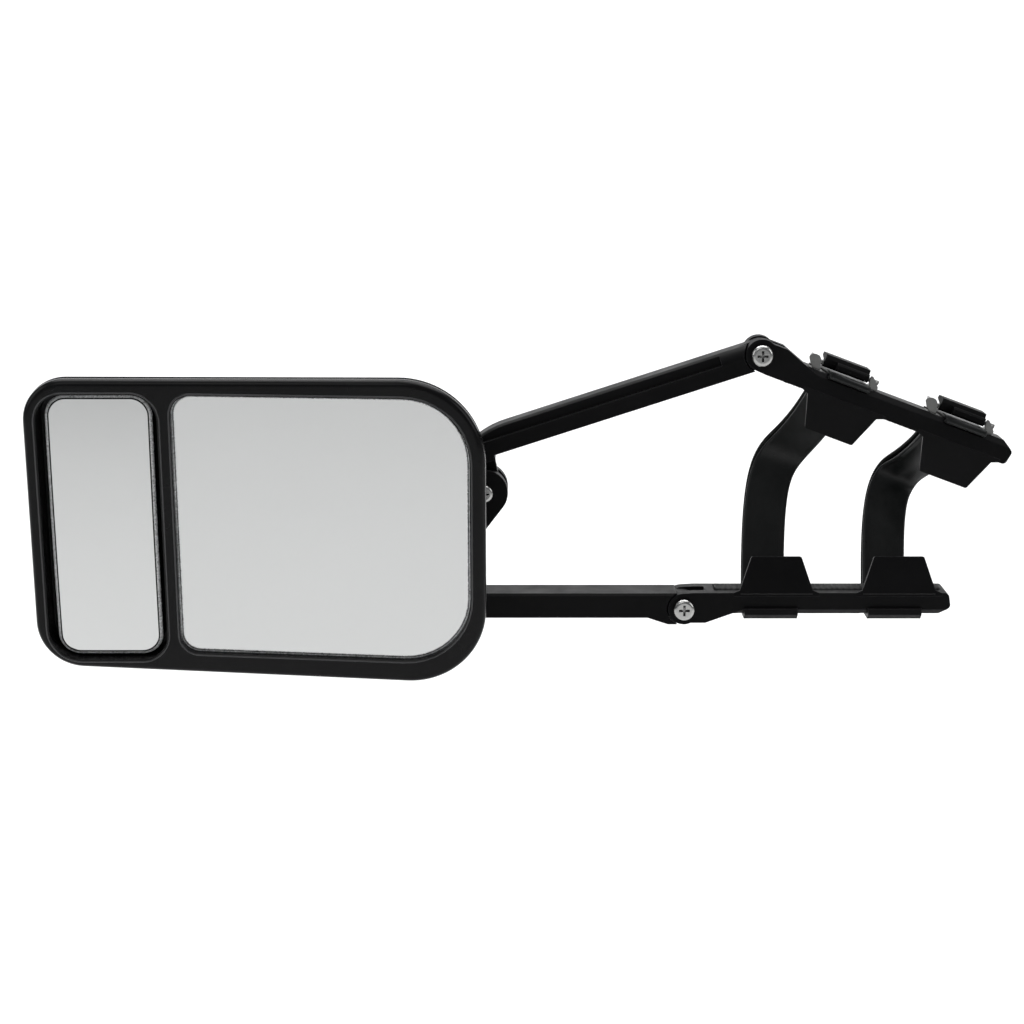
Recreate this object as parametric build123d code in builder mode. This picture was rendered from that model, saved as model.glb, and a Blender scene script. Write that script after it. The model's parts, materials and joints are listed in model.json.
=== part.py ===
"""Strap-on towing mirror: two hinged clamp bars, two arms, and a mirror head on a ball joint."""
from build123d import *
import os
from math import cos, radians, sin

os.makedirs("parts", exist_ok=True)

# The origin is the middle of the lower clamp's rubber seat. +X runs along the arms away from the head,
# +Y is away from the driver and +Z is up. All lengths are in millimetres and all angles in degrees.

# Linkage: pivot places as X and Z in the middle plane Y = 0
LOWER_PIVOT = (-67.5, -8.1)
UPPER_PIVOT = (-35.5, 104.9)
MID_PIVOT = (-155.7, 44.2)
UPPER_BAR_TILT = 20.6
UPPER_ARM_TILT = 18.05
HALF_DEPTH = 9.0

# Clamp bars, measured from their pivot
BAR_LENGTH = 118.0
BAR_INNER = 7.3
BAR_OUTER = 2.5
BAR_CHAMFER = 2.3
EYE_RADIUS = 7.0
FORK_GAP = 7.0
FORK_SLOT_END = 9.5
FLAP_CENTRES = (40.8, 95.0)
FLAP_BASE = 32.2
FLAP_TOP = 22.0
FLAP_HEIGHT = 16.2
FLAP_THICKNESS = 2.2
FLAP_LEAN = 10.0
FLAP_CORNER = 1.0
TIP_ROUND = 2.0
STRAP_CENTRES = (37.2, 91.9)
BAR_SHOULDER = 5.0
BAR_KNEE = 20.0
BAR_THROAT = ((9.5, -6.3), (3.0, -6.3))
BAR_TIP = (1.0, 1.0, 5.0)
FLAP_FILLET_WIDTH = 3.0
FLAP_FILLET_HEIGHT = 1.2
FLAP_ROOT = 1.5

# Grip pads, let into the clamp bars
PAD_START = 14.0
PAD_END = 114.0
PAD_FRONT = -3.2
PAD_REAR = 6.8
PAD_PROUD = 0.8
PAD_DEPTH = 1.2
PAD_GAP = 0.2
PAD_RADIUS = 1.5

# Pivot fits
SCREW_RADIUS = 2.5
SCREW_HEAD_RADIUS = 4.75
MID_SCREW_RADIUS = 2.0
MID_SCREW_HEAD_RADIUS = 4.0
RUNNING_GAP = 0.05
TONGUE = 6.4
TONGUE_EYE_RADIUS = 6.4
KNUCKLE_CUT_RADIUS = 7.6
WASHER = 1.0
SCREW_HEAD = 3.0
SCREW_LENGTH = 24.5
SCREW_WASHER_RADIUS = 5.0
SCREW_NUT = 4.0
MID_SCREW_HEAD = 2.6
MID_SCREW_LENGTH = 23.5
MID_WASHER_RADIUS = 4.5
MID_NUT = 3.4
CROSS_WIDTH = 0.22
NUT_SIZE = 1.78
COLLAR_SIZE = 1.35

# Lower arm and bracket
ARM_TOP = 6.9
ARM_BOTTOM = -4.0
ARM_LENGTH = 140.0
ARM_BULGE = (7.0, 16.0)
ARM_CHAMFER = 1.0
BOSS_FOOT_RADIUS = 9.0
TONGUE_ROOT = 20.0
TONGUE_DROP = 0.5
BRACKET_FRONT = -4.0
BRACKET_STEP_X = -166.0
BRACKET_FOOT = (-187.0, 3.0)
BOSS_FOOT = (-205.0, 0.0)
LUG_RADIUS = 10.3
LUG_SLOT_RADIUS = 12.6
BOSS_RADIUS = 13.0

# Upper arm section, above and below the line through its upper pivot
UPPER_ARM_TOP = 6.0
UPPER_ARM_BOTTOM = -5.8
LEDGE = 0.9
LEDGE_DEPTH = 2.2
LEDGE_END = -17.7
ARM_TOP_ROUND = 5.0
ARM_BOW_START = 18.3
NECK_EYE_RADIUS = 9.5
ARM_BOW_END = (7.5, 9.5)
ARM_END_LEFT = 8.5
ARM_END_RIGHT = 9.3
ARM_END_HEIGHT = 12.6
ARM_REACH = 160.0
NECK_LEFT = 7.0

# Mirror head: its own frame lies in the bezel's front face
HEAD_ORIGIN = (-249.0, -57.0, 27.2)
HEAD_TILT = 5.5
HEAD_LEFT = -95.7
HEAD_RIGHT = 94.5
HEAD_TOP = (75.7, 75.2)
HEAD_BOTTOM = (-49.2, -58.4)
HEAD_RADII = (18.0, 36.0, 32.0, 20.0)
BEZEL_DEPTH = 6.2
SHELL_EDGE = 14.0
SHELL_TOP_DROP = 2.5
SHELL_DEPTH = 26.0
SHELL_TAPER = 27.0
WALL = 2.2
MAIN_LEFT = -34.5
MAIN_RIGHT = 87.7
MAIN_TOP = (68.9, 67.0)
MAIN_BOTTOM = (-43.0, -47.8)
MAIN_RADII = (8.0, 28.0, 27.0, 8.0)
LIP = 1.3
SPOT_CENTRE = (-65.1, 11.3)
SPOT_SIZE = (44.4, 114.0)
SPOT_RADIUS = 9.0
POCKET_SIDES = (-90.3, -40.3)
POCKET_ENDS = (69.3, -46.5)
POCKET_RADII = (11.2, 11.2, 11.2, 13.5)
GLASS = 3.0
GLASS_FACE = 3.0
CARRIER = 2.0
CARRIER_RIB = 2.0
BEZEL_ROUND = 2.6
TUB_FLOOR = 12.4
TUB_WALL = 1.0
WELL_SIZE = (16.0, 24.0)
WELL_FLOOR = 14.6
TABS = ((-92.3, 10.0, 1.3, 14.0), (91.2, 8.0, 1.4, 14.0), (0.0, 70.6, 14.0, 1.4), (0.0, -50.1, 14.0, 1.4))
TAB_LENGTH = 3.2
TAB_RADIUS = 0.6
GLASS_REVEAL = 0.2
GLASS_EDGE_GAP = 0.3
CARRIER_EDGE_GAP = 0.6
GLASS_CHAMFER = 0.6
CARRIER_RIB_SIZE = (30.0, 1.6)
CARRIER_RIB_PITCH = (36.0, 30.0)
CARRIER_MIDDLE = (26.0, 9.0)
SPOT_APEX = 3.6
SPOT_DOME = 600.0
SPOT_GLASS = 2.2
SPOT_BACK = 9.8
GLUE = 0.06
SPOT_PIN_DEPTH = 11.4
SPOT_PIN_RADIUS = 0.8
KNUCKLE = 1.6
KNUCKLE_START = 4.2
KNUCKLE_LENGTH = 3.0
BLOCK_GAP = 0.4
BLOCK_LENGTH = 7.0
SPOT_PIN_HALF = 9.0
SPOT_CARRIER_INSET = 0.5

# Ball joint
BALL_RADIUS = 10.0
LINER_RADIUS = 12.0
SOCKET_RADIUS = 12.06
SOCKET_OUTER = 17.0
BALL_FIT = 0.06
CAP_HEIGHT = 8.6
NECK_RADIUS = 4.0
STUD_END = 8.0
COLLAR_RADIUS = 6.5
COLLAR = 2.0
STUD_WASHER_RADIUS = 8.0
STUD_NUT = 6.5
MOUTH_LENGTH = 20.0
BALL_PLACE = (0.0, 10.0, -36.0)
SHELL_ROUND = 3.0
CAP_SCREW_START = 45
MOUTH_ANGLE = 50.0
SOCKET_FRONT = 16.0
CAP_SCREW_CIRCLE = 14.6
CAP_SCREW_RADIUS = 1.3
CAP_SCREW_LENGTH = 9.0
CAP_SCREW_HEAD = 1.8
CAP_HEAD_RADIUS = 2.1
CAP_HEAD_GAP = 0.1
CAP_HEAD_SINK = 0.2

# Cam buckles, on the outer face of the upper bar
FRAME_LENGTH = 30.0
FRAME_GAP = 21.4
SHEET = 1.0
PLATE_WIDTH = 13.4
PLATE_RADIUS = 2.0
PLATE_GAP = 0.3
EAR_ROUND = 2.0
EAR_SPLAY = 38.0
EAR_LENGTH = 8.4
EAR_FOOT = (-5.5, 2.8)
EAR_TIP = (-4.7, -0.3)
PIN_HEIGHT = 6.0
PIN_Y = -2.5
PIN_RADIUS = 1.0
PIN_LENGTH = 31.4
LEVER_WIDTH = 20.4
RIB_START = -4.6
BARREL_RADIUS = 1.65
LEVER_PLATE = ((-4.4, 0.2), (-4.9, 2.4), (-4.0, 4.1), (5.4, 4.1), (6.4, 2.6), (-0.2, 1.2), (-0.4, 0.2))
LEVER_RIB = ((-4.3, -1.0), (-6.4, -1.3), (-7.2, -0.6), (-7.2, 1.4), (-6.4, 2.3), (-4.3, 2.3))
RIVET_RADIUS = 0.9
RIVET_HEAD_RADIUS = 1.4
RIVET_HEAD = 0.7
RIVET_DEPTH = 2.5
RIVET_INSET = 1.7
RIVET_Y = 5.0
SPRING_COIL = 0.35

# Straps
STRAP_WIDTH = 19.0
STRAP_THICK = 1.6
EYE_Y = 13.2
EYE_Z = -3.5
EYE_BAR_RADIUS = 1.5
LEG_OFFSET = 3.0
HOOK_WIDTH = 23.6
HOOK_SHIFT = 1.2
HOOK_SECTION = (
    (-9.3, 0.6),
    (-9.3, -1.0),
    (-7.3, -2.75),
    (8.4, -2.75),
    (8.4, -4.5),
    (-8.2, -4.5),
    (-10.9, -2.2),
    (-10.9, 0.6),
)
CHEEK_SECTION = ((4.0, -2.75), (8.4, -2.75), (15.4, -1.8), (15.4, -5.4), (10.0, -5.4), (4.0, -4.5))
CHEEK_GAP = 0.5
BULGE_STEPS = 12
TAIL_Y = -11.8
TAIL_SHIFT = 2.4
HEM_LENGTH = 3.0
HEM_BACK = 0.1
HEM_NARROW = 0.6
HEM_DROP = 2.4
STRAP_GAP = 0.15
PLATE_CLEAR = 0.1
STRAP_SHOULDER = ((0.2, 6.5, 0.0), (0.0, 10.8, 0.7), (0.0, 12.8, 3.0))
OUTER_START = (13.4, -2.0)
INNER_START = -6.5
FIXED_END = 1.0
EYE_TURNS = (45, 90, 135)

# How far each strap's two legs bow out, as pulls on their curves: (rearward, outward) at the upper bar
# and (rearward, upward) at the hook
OUTER_PULLS = (((30.4, 53.6), (22.0, 86.2)), ((35.3, 38.6), (27.3, 71.8)))
INNER_PULLS = (((34.0, 50.4), (24.6, 81.0)), ((38.8, 37.8), (30.0, 70.4)))

lower_frame = Plane(origin=(LOWER_PIVOT[0], 0, LOWER_PIVOT[1]))
bar_along = Vector(cos(radians(UPPER_BAR_TILT)), 0, -sin(radians(UPPER_BAR_TILT)))
bar_out = Vector(sin(radians(UPPER_BAR_TILT)), 0, cos(radians(UPPER_BAR_TILT)))
upper_frame = Plane(origin=(UPPER_PIVOT[0], 0, UPPER_PIVOT[1]), x_dir=bar_along, z_dir=bar_out)
arm_along = Vector(cos(radians(UPPER_ARM_TILT)), 0, sin(radians(UPPER_ARM_TILT)))
upper_arm_side = Plane(origin=(UPPER_PIVOT[0], 0, UPPER_PIVOT[1]), x_dir=arm_along, z_dir=(0, -1, 0))
head_normal = Vector(0, -cos(radians(HEAD_TILT)), -sin(radians(HEAD_TILT)))
head_plane = Plane(origin=HEAD_ORIGIN, x_dir=(1, 0, 0), z_dir=head_normal)
ball_centre = head_plane.from_local_coords(Vector(*BALL_PLACE))
ball_plane = Plane(origin=ball_centre, x_dir=(1, 0, 0), z_dir=(0, 1, 0))
head_up = Vector(0, -sin(radians(HEAD_TILT)), cos(radians(HEAD_TILT)))
spot_pin_plane = Plane(
    origin=head_plane.from_local_coords(Vector(SPOT_CENTRE[0], SPOT_CENTRE[1], -SPOT_PIN_DEPTH)),
    x_dir=(-1, 0, 0),
    z_dir=head_up,
)


def save(part, label):
    """Name a finished piece and write its file."""
    part.label = label
    export_step(part, "parts/" + label + ".step")


def on_lower(part):
    """Place a piece made in the clamp bar's own frame on the lower bar."""
    return lower_frame.location * part


def on_upper(part):
    """Place a piece made in the clamp bar's own frame on the upper bar, which is its mirror image."""
    return upper_frame.location * mirror(part, about=Plane.XY)


def at_pivot(part, pivot):
    """Move a piece made about the Y axis to a pivot of the linkage."""
    return Pos(pivot[0], 0, pivot[1]) * part


def rivet_spots():
    """Where the buckle rivets sit on a clamp bar's outer face."""
    reach = FRAME_LENGTH / 2 - RIVET_INSET
    return [(centre + side * reach, RIVET_Y) for centre in STRAP_CENTRES for side in (-1, 1)]


def clamp_bar():
    """One clamp bar with its fork and its two flaps. The seat side is up and the pivot is the origin."""
    with BuildPart() as bar:
        with BuildSketch(Plane.XZ) as profile:
            with BuildLine():
                Polyline(
                    (0, EYE_RADIUS),
                    (BAR_SHOULDER, BAR_INNER),
                    (BAR_LENGTH - BAR_TIP[0], BAR_INNER),
                    (BAR_LENGTH, BAR_TIP[1]),
                    (BAR_LENGTH - BAR_TIP[2], -BAR_OUTER),
                    (BAR_KNEE, -BAR_OUTER),
                    *BAR_THROAT,
                    close=True,
                )
            make_face()
            Circle(EYE_RADIUS)
            fillet(profile.vertices().filter_by_position(Axis.X, BAR_LENGTH - 2, BAR_LENGTH + 1), TIP_ROUND)
        extrude(amount=HALF_DEPTH, both=True)
        long_edges = bar.edges().filter_by(Axis.X)
        chamfer(long_edges.filter_by_position(Axis.Z, -BAR_OUTER - 0.1, 0.1 - BAR_OUTER), BAR_CHAMFER)
        for centre in FLAP_CENTRES:
            lean = radians(FLAP_LEAN)
            root = Plane(
                origin=(centre, -HALF_DEPTH, BAR_INNER), x_dir=(1, 0, 0), z_dir=(0, -cos(lean), sin(lean))
            )
            with BuildSketch(root) as flap:
                with BuildLine():
                    Polyline(
                        (-FLAP_BASE / 2 - FLAP_FILLET_WIDTH, -FLAP_ROOT),
                        (-FLAP_BASE / 2 - FLAP_FILLET_WIDTH, 0),
                        (-FLAP_BASE / 2, FLAP_FILLET_HEIGHT),
                        (-FLAP_TOP / 2, FLAP_HEIGHT),
                        (FLAP_TOP / 2, FLAP_HEIGHT),
                        (FLAP_BASE / 2, FLAP_FILLET_HEIGHT),
                        (FLAP_BASE / 2 + FLAP_FILLET_WIDTH, 0),
                        (FLAP_BASE / 2 + FLAP_FILLET_WIDTH, -FLAP_ROOT),
                        close=True,
                    )
                make_face()
                fillet(flap.vertices().group_by(Axis.Y)[-1], FLAP_CORNER)
            extrude(amount=-FLAP_THICKNESS)
        with BuildSketch(Plane.XY.offset(BAR_INNER - PAD_DEPTH)):
            with Locations(((PAD_START + PAD_END) / 2, (PAD_FRONT + PAD_REAR) / 2)):
                Rectangle(PAD_END - PAD_START + 2 * PAD_GAP, PAD_REAR - PAD_FRONT + 2 * PAD_GAP)
        extrude(amount=PAD_DEPTH + 1, mode=Mode.SUBTRACT)
        for centre in STRAP_CENTRES:
            with BuildSketch(Plane.XY.offset(SHEET - BAR_OUTER)):
                with Locations((centre, 0)):
                    RectangleRounded(FRAME_LENGTH + PLATE_GAP, PLATE_WIDTH + PLATE_GAP, PLATE_RADIUS)
            extrude(amount=-SHEET - 1, mode=Mode.SUBTRACT)
        with BuildSketch(Plane.XY.offset(SHEET - BAR_OUTER)):
            with Locations(*rivet_spots()):
                Circle(RIVET_RADIUS + RUNNING_GAP)
        extrude(amount=RIVET_DEPTH, mode=Mode.SUBTRACT)
        with BuildSketch(Plane.XY):
            with Locations((FORK_SLOT_END / 2 - EYE_RADIUS, 0)):
                Rectangle(FORK_SLOT_END + 2 * EYE_RADIUS, FORK_GAP)
        extrude(amount=2 * EYE_RADIUS, both=True, mode=Mode.SUBTRACT)
        with BuildSketch(Plane.XZ):
            Circle(SCREW_RADIUS + RUNNING_GAP)
        extrude(amount=2 * HALF_DEPTH, both=True, mode=Mode.SUBTRACT)
    return bar.part


def grip_pad():
    """The ribbed rubber strip that bears on the car's own mirror."""
    length = PAD_END - PAD_START
    with BuildPart() as pad:
        with BuildSketch(Plane.XY.offset(BAR_INNER - PAD_DEPTH)):
            with Locations(((PAD_START + PAD_END) / 2, (PAD_FRONT + PAD_REAR) / 2)):
                RectangleRounded(length, PAD_REAR - PAD_FRONT, PAD_RADIUS)
        extrude(amount=PAD_DEPTH + PAD_PROUD)
    return pad.part


def pan_screw(radius, head_radius, head_height, front, length):
    """A cross-recess pan-head screw along Y whose head sits on the plane Y = front."""
    with BuildPart() as screw:
        with BuildSketch(Plane.XZ.offset(-front)):
            Circle(head_radius)
        extrude(amount=head_height)
        rim = screw.edges().sort_by(Axis.Y)[0]
        fillet(rim, head_height * 0.55)
        with BuildSketch(Plane.XZ.offset(-front)):
            Circle(radius)
        extrude(amount=-length)
        with BuildSketch(Plane.XZ.offset(head_height - front)):
            Rectangle(head_radius, head_radius * CROSS_WIDTH)
            Rectangle(head_radius * CROSS_WIDTH, head_radius)
        extrude(amount=-head_height * 0.5, mode=Mode.SUBTRACT)
    return screw.part


def washer(radius, outer):
    """A plain washer on the rear face of a fork."""
    with BuildPart() as ring:
        with BuildSketch(Plane.XZ.offset(-HALF_DEPTH)):
            Circle(outer)
            Circle(radius + 0.1, mode=Mode.SUBTRACT)
        extrude(amount=-WASHER)
    return ring.part


def lock_nut(radius, height):
    """A hexagon lock nut behind the washer."""
    with BuildPart() as nut:
        with BuildSketch(Plane.XZ.offset(-HALF_DEPTH - WASHER)):
            RegularPolygon(radius * NUT_SIZE, 6)
            Circle(radius, mode=Mode.SUBTRACT)
        extrude(amount=-height)
        with BuildSketch(Plane.XZ.offset(-HALF_DEPTH - WASHER - height)):
            Circle(radius * COLLAR_SIZE)
            Circle(radius, mode=Mode.SUBTRACT)
        extrude(amount=-height * 0.25)
    return nut.part


def strap_hook(centre):
    """The clip under the lower bar: a front lip, a plate under the bar and an eye bar for the strap."""
    with BuildPart() as hook:
        with BuildSketch(Plane.YZ.offset(centre + HOOK_SHIFT)):
            with BuildLine():
                Polyline(*HOOK_SECTION, close=True)
            make_face()
        extrude(amount=HOOK_WIDTH / 2, both=True)
        cheek_start = STRAP_WIDTH / 2 + CHEEK_GAP
        cheek_end = HOOK_WIDTH / 2 - HOOK_SHIFT
        with BuildSketch(Plane.YZ.offset(centre)):
            with Locations((EYE_Y, EYE_Z)):
                Circle(EYE_BAR_RADIUS)
        extrude(amount=cheek_end, both=True)
        for side in (-1, 1):
            with BuildSketch(Plane.YZ.offset(centre + side * cheek_start)):
                with BuildLine():
                    Polyline(*CHEEK_SECTION, close=True)
                make_face()
            extrude(amount=side * (cheek_end - cheek_start))
    return hook.part


def buckle_frame(centre):
    """A bent sheet-metal frame with two rounded ears, splayed outwards, that hold the cam pin."""
    top = SHEET - BAR_OUTER
    splay = radians(EAR_SPLAY)
    with BuildPart() as frame:
        with BuildSketch(Plane.XY.offset(top)):
            with Locations((centre, 0)):
                RectangleRounded(FRAME_LENGTH, PLATE_WIDTH, PLATE_RADIUS)
        extrude(amount=-SHEET)
        for side in (-1, 1):
            foot = Plane(
                origin=(centre + side * FRAME_GAP / 2, 0, top - SHEET * sin(splay)),
                x_dir=(0, 1, 0),
                z_dir=(side * cos(splay), 0, sin(splay)),
            )
            with BuildSketch(foot) as ear:
                with BuildLine():
                    Polyline(
                        (EAR_FOOT[0], 0),
                        (EAR_TIP[0], -side * EAR_LENGTH),
                        (EAR_TIP[1], -side * EAR_LENGTH),
                        (EAR_FOOT[1], 0),
                        close=True,
                    )
                make_face()
                fillet(ear.vertices().filter_by_position(Axis.Z, -3 * EAR_LENGTH, top - 1), EAR_ROUND)
            extrude(amount=SHEET)
        with BuildSketch(Plane.XY.offset(top)):
            with Locations(*rivet_spots()):
                Circle(RIVET_RADIUS + RUNNING_GAP)
        extrude(amount=-4 * SHEET, mode=Mode.SUBTRACT)
        with BuildSketch(Plane.YZ.offset(centre)):
            with Locations((PIN_Y, -PIN_HEIGHT)):
                Circle(PIN_RADIUS)
        extrude(amount=FRAME_LENGTH, both=True, mode=Mode.SUBTRACT)
    return frame.part


def buckle_rivets():
    """Four rivets, two through each buckle frame into the bar."""
    with BuildPart() as rivets:
        with BuildSketch(Plane.XY.offset(-BAR_OUTER)):
            with Locations(*rivet_spots()):
                Circle(RIVET_HEAD_RADIUS)
        extrude(amount=-RIVET_HEAD)
        with BuildSketch(Plane.XY.offset(-BAR_OUTER)):
            with Locations(*rivet_spots()):
                Circle(RIVET_RADIUS)
        extrude(amount=RIVET_DEPTH)
    return rivets.part


def cam_pin(centre):
    """The steel pin that a cam lever turns on."""
    with BuildPart() as pin:
        with BuildSketch(Plane.YZ.offset(centre)):
            with Locations((PIN_Y, -PIN_HEIGHT)):
                Circle(PIN_RADIUS)
        extrude(amount=PIN_LENGTH / 2, both=True)
    return pin.part


def lever_section(points):
    """A section of the cam lever, from places given as Y and the height above the cam pin."""
    with BuildSketch(Plane.YZ) as section:
        with BuildLine():
            Polyline(*[(across, -PIN_HEIGHT - height) for across, height in points], close=True)
        make_face()
    return section.sketch


def cam_lever(centre):
    """The lever whose barrel presses the strap: a barrel, a flat thumb plate and a shorter front rib."""
    with BuildPart() as lever:
        extrude(Pos(centre, 0, 0) * lever_section(LEVER_PLATE), amount=LEVER_WIDTH / 2, both=True)
        extrude(Pos(centre + RIB_START, 0, 0) * lever_section(LEVER_RIB), amount=LEVER_WIDTH / 2 - RIB_START)
        with BuildSketch(Plane.YZ.offset(centre)):
            with Locations((PIN_Y, -PIN_HEIGHT)):
                Circle(BARREL_RADIUS)
        extrude(amount=LEVER_WIDTH / 2, both=True)
        with BuildSketch(Plane.YZ.offset(centre)):
            with Locations((PIN_Y, -PIN_HEIGHT)):
                Circle(PIN_RADIUS + RUNNING_GAP)
        extrude(amount=LEVER_WIDTH, both=True, mode=Mode.SUBTRACT)
    return lever.part


def cam_spring(centre):
    """The torsion spring's coil, beside the lever on the cam pin, with one leg on the frame."""
    left = centre - FRAME_GAP / 2
    with BuildPart() as spring:
        with BuildSketch(Plane.YZ.offset(left + 0.05)):
            with Locations((PIN_Y, -PIN_HEIGHT)):
                Circle(BARREL_RADIUS - 0.2)
                Circle(PIN_RADIUS + RUNNING_GAP, mode=Mode.SUBTRACT)
        extrude(amount=SPRING_COIL)
    return spring.part


def rounded_outline(depth, left, right, top, bottom, radii, inset=0.0):
    """A four-sided outline with its own radius at each corner, in a plane behind the bezel's face."""
    points = ((left, top[0]), (right, top[1]), (right, bottom[1]), (left, bottom[0]))
    with BuildSketch(Plane.XY) as flat:
        with BuildLine():
            Polyline(*points, close=True)
        make_face()
        for point, radius in zip(points, radii):
            corner = flat.vertices().sort_by_distance((point[0], point[1], 0))[0]
            fillet(corner, radius)
        if inset:
            offset(amount=-inset, mode=Mode.REPLACE)
    return head_plane.offset(-depth).location * flat.sketch


def head_outline(depth, inset=0.0):
    """The head's own outline."""
    return rounded_outline(depth, HEAD_LEFT, HEAD_RIGHT, HEAD_TOP, HEAD_BOTTOM, HEAD_RADII, inset)


def shell_edge_outline(inset):
    """The rear shell's widest section, whose top edge is lower than the bezel's."""
    top = (HEAD_TOP[0] - SHELL_TOP_DROP, HEAD_TOP[1] - SHELL_TOP_DROP)
    return rounded_outline(SHELL_EDGE, HEAD_LEFT, HEAD_RIGHT, top, HEAD_BOTTOM, HEAD_RADII, inset)


def main_outline(depth, inset=0.0):
    """The main glass outline."""
    return rounded_outline(depth, MAIN_LEFT, MAIN_RIGHT, MAIN_TOP, MAIN_BOTTOM, MAIN_RADII, inset)


def pocket_outline(depth, inset=0.0):
    """The outline of the blind-spot mirror's pocket."""
    ends = ((POCKET_ENDS[0],) * 2, (POCKET_ENDS[1],) * 2)
    return rounded_outline(depth, POCKET_SIDES[0], POCKET_SIDES[1], ends[0], ends[1], POCKET_RADII, inset)


def spot_outline(depth, size, centre, radius):
    """A rounded rectangle in a plane behind the bezel's face."""
    with BuildSketch(Plane.XY) as flat:
        with Locations(centre):
            RectangleRounded(size[0], size[1], radius)
    return head_plane.offset(-depth).location * flat.sketch


def high(along, depth, out):
    """A point given along, behind and outside the upper bar's pivot."""
    return upper_frame.from_local_coords(Vector(along, depth, out))


def low(along, depth, height):
    """A point given along, behind and above the lower bar's pivot."""
    return lower_frame.from_local_coords(Vector(along, depth, height))


def strap_leg(centre, start, end, pulls):
    """Points down one leg of a strap, each with its share of the upper bar's tilt."""
    (start_back, start_out), (end_back, end_up) = pulls
    first = high(centre, *start)
    second = first - bar_out * start_out + Vector(0, start_back, 0)
    last = low(centre, *end)
    third = last + Vector(0, end_back, end_up)
    points = []
    for step in range(BULGE_STEPS + 1):
        t = step / BULGE_STEPS
        rest = 1 - t
        near = first * rest ** 3 + second * (3 * t * rest ** 2)
        far = third * (3 * t * t * rest) + last * t ** 3
        points.append((near + far, 1 - t * t * (3 - 2 * t)))
    return points


def strap(centre, outer_pulls, inner_pulls):
    """One webbing band: from the rear of the upper bar, round the hook's eye bar and back to the buckle."""
    behind_bar = HALF_DEPTH + STRAP_THICK / 2 + STRAP_GAP
    top = BAR_OUTER + PLATE_CLEAR + STRAP_THICK / 2
    path = [(high(centre + TAIL_SHIFT, TAIL_Y, top), 1.0)]
    path += [(high(centre + shift, depth, top - drop), 1.0) for shift, depth, drop in STRAP_SHOULDER]
    path += strap_leg(centre, OUTER_START, (EYE_Y + LEG_OFFSET, EYE_Z), outer_pulls)
    for turn in EYE_TURNS:
        swing = radians(turn)
        path.append((low(centre, EYE_Y + LEG_OFFSET * cos(swing), EYE_Z - LEG_OFFSET * sin(swing)), 0.0))
    path += strap_leg(centre, (behind_bar, INNER_START), (EYE_Y - LEG_OFFSET, EYE_Z), inner_pulls)[::-1]
    path.append((high(centre, behind_bar, FIXED_END), 1.0))
    sections = []
    for index, (point, share) in enumerate(path):
        ahead = path[min(index + 1, len(path) - 1)][0]
        behind = path[max(index - 1, 0)][0]
        tangent = (ahead - behind).normalized()
        angle = radians(UPPER_BAR_TILT * share)
        across = Vector(cos(angle), 0, -sin(angle))
        across = (across - tangent * across.dot(tangent)).normalized()
        with BuildSketch(Plane(origin=point, x_dir=across, z_dir=tangent)) as section:
            Rectangle(STRAP_WIDTH, STRAP_THICK)
        sections.append(section.sketch)
    hem_middle = high(centre + TAIL_SHIFT, TAIL_Y + HEM_BACK + HEM_LENGTH / 2, top)
    with BuildPart() as band:
        loft(sections, ruled=True)
        with BuildSketch(Plane(origin=hem_middle, x_dir=bar_along, z_dir=bar_out)):
            Rectangle(STRAP_WIDTH - HEM_NARROW, HEM_LENGTH)
        extrude(amount=-HEM_DROP)
    return band.part


# Lower clamp
save(on_lower(clamp_bar()), "lower_clamp_bar")
save(on_lower(grip_pad()), "lower_grip_pad")
for number, centre in enumerate(STRAP_CENTRES, start=1):
    save(on_lower(strap_hook(centre)), "strap_hook_" + str(number))

# Upper clamp
save(on_upper(clamp_bar()), "upper_clamp_bar")
save(on_upper(grip_pad()), "upper_grip_pad")
save(on_upper(buckle_rivets()), "buckle_rivets")
for number, centre in enumerate(STRAP_CENTRES, start=1):
    save(on_upper(buckle_frame(centre)), "buckle_frame_" + str(number))
    save(on_upper(cam_pin(centre)), "cam_pin_" + str(number))
    save(on_upper(cam_lever(centre)), "cam_lever_" + str(number))
    save(on_upper(cam_spring(centre)), "cam_spring_" + str(number))
    save(strap(centre, OUTER_PULLS[number - 1], INNER_PULLS[number - 1]), "strap_" + str(number))

# Pivot screws, washers and nuts
for name, pivot in (("lower", LOWER_PIVOT), ("upper", UPPER_PIVOT)):
    screw = pan_screw(SCREW_RADIUS, SCREW_HEAD_RADIUS, SCREW_HEAD, -HALF_DEPTH, SCREW_LENGTH)
    save(at_pivot(screw, pivot), name + "_pivot_screw")
    save(at_pivot(washer(SCREW_RADIUS, SCREW_WASHER_RADIUS), pivot), name + "_pivot_washer")
    save(at_pivot(lock_nut(SCREW_RADIUS, SCREW_NUT), pivot), name + "_pivot_nut")
mid_screw = pan_screw(MID_SCREW_RADIUS, MID_SCREW_HEAD_RADIUS, MID_SCREW_HEAD, -HALF_DEPTH, MID_SCREW_LENGTH)
save(at_pivot(mid_screw, MID_PIVOT), "mid_pivot_screw")
save(at_pivot(washer(MID_SCREW_RADIUS, MID_WASHER_RADIUS), MID_PIVOT), "mid_pivot_washer")
save(at_pivot(lock_nut(MID_SCREW_RADIUS, MID_NUT), MID_PIVOT), "mid_pivot_nut")

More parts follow.
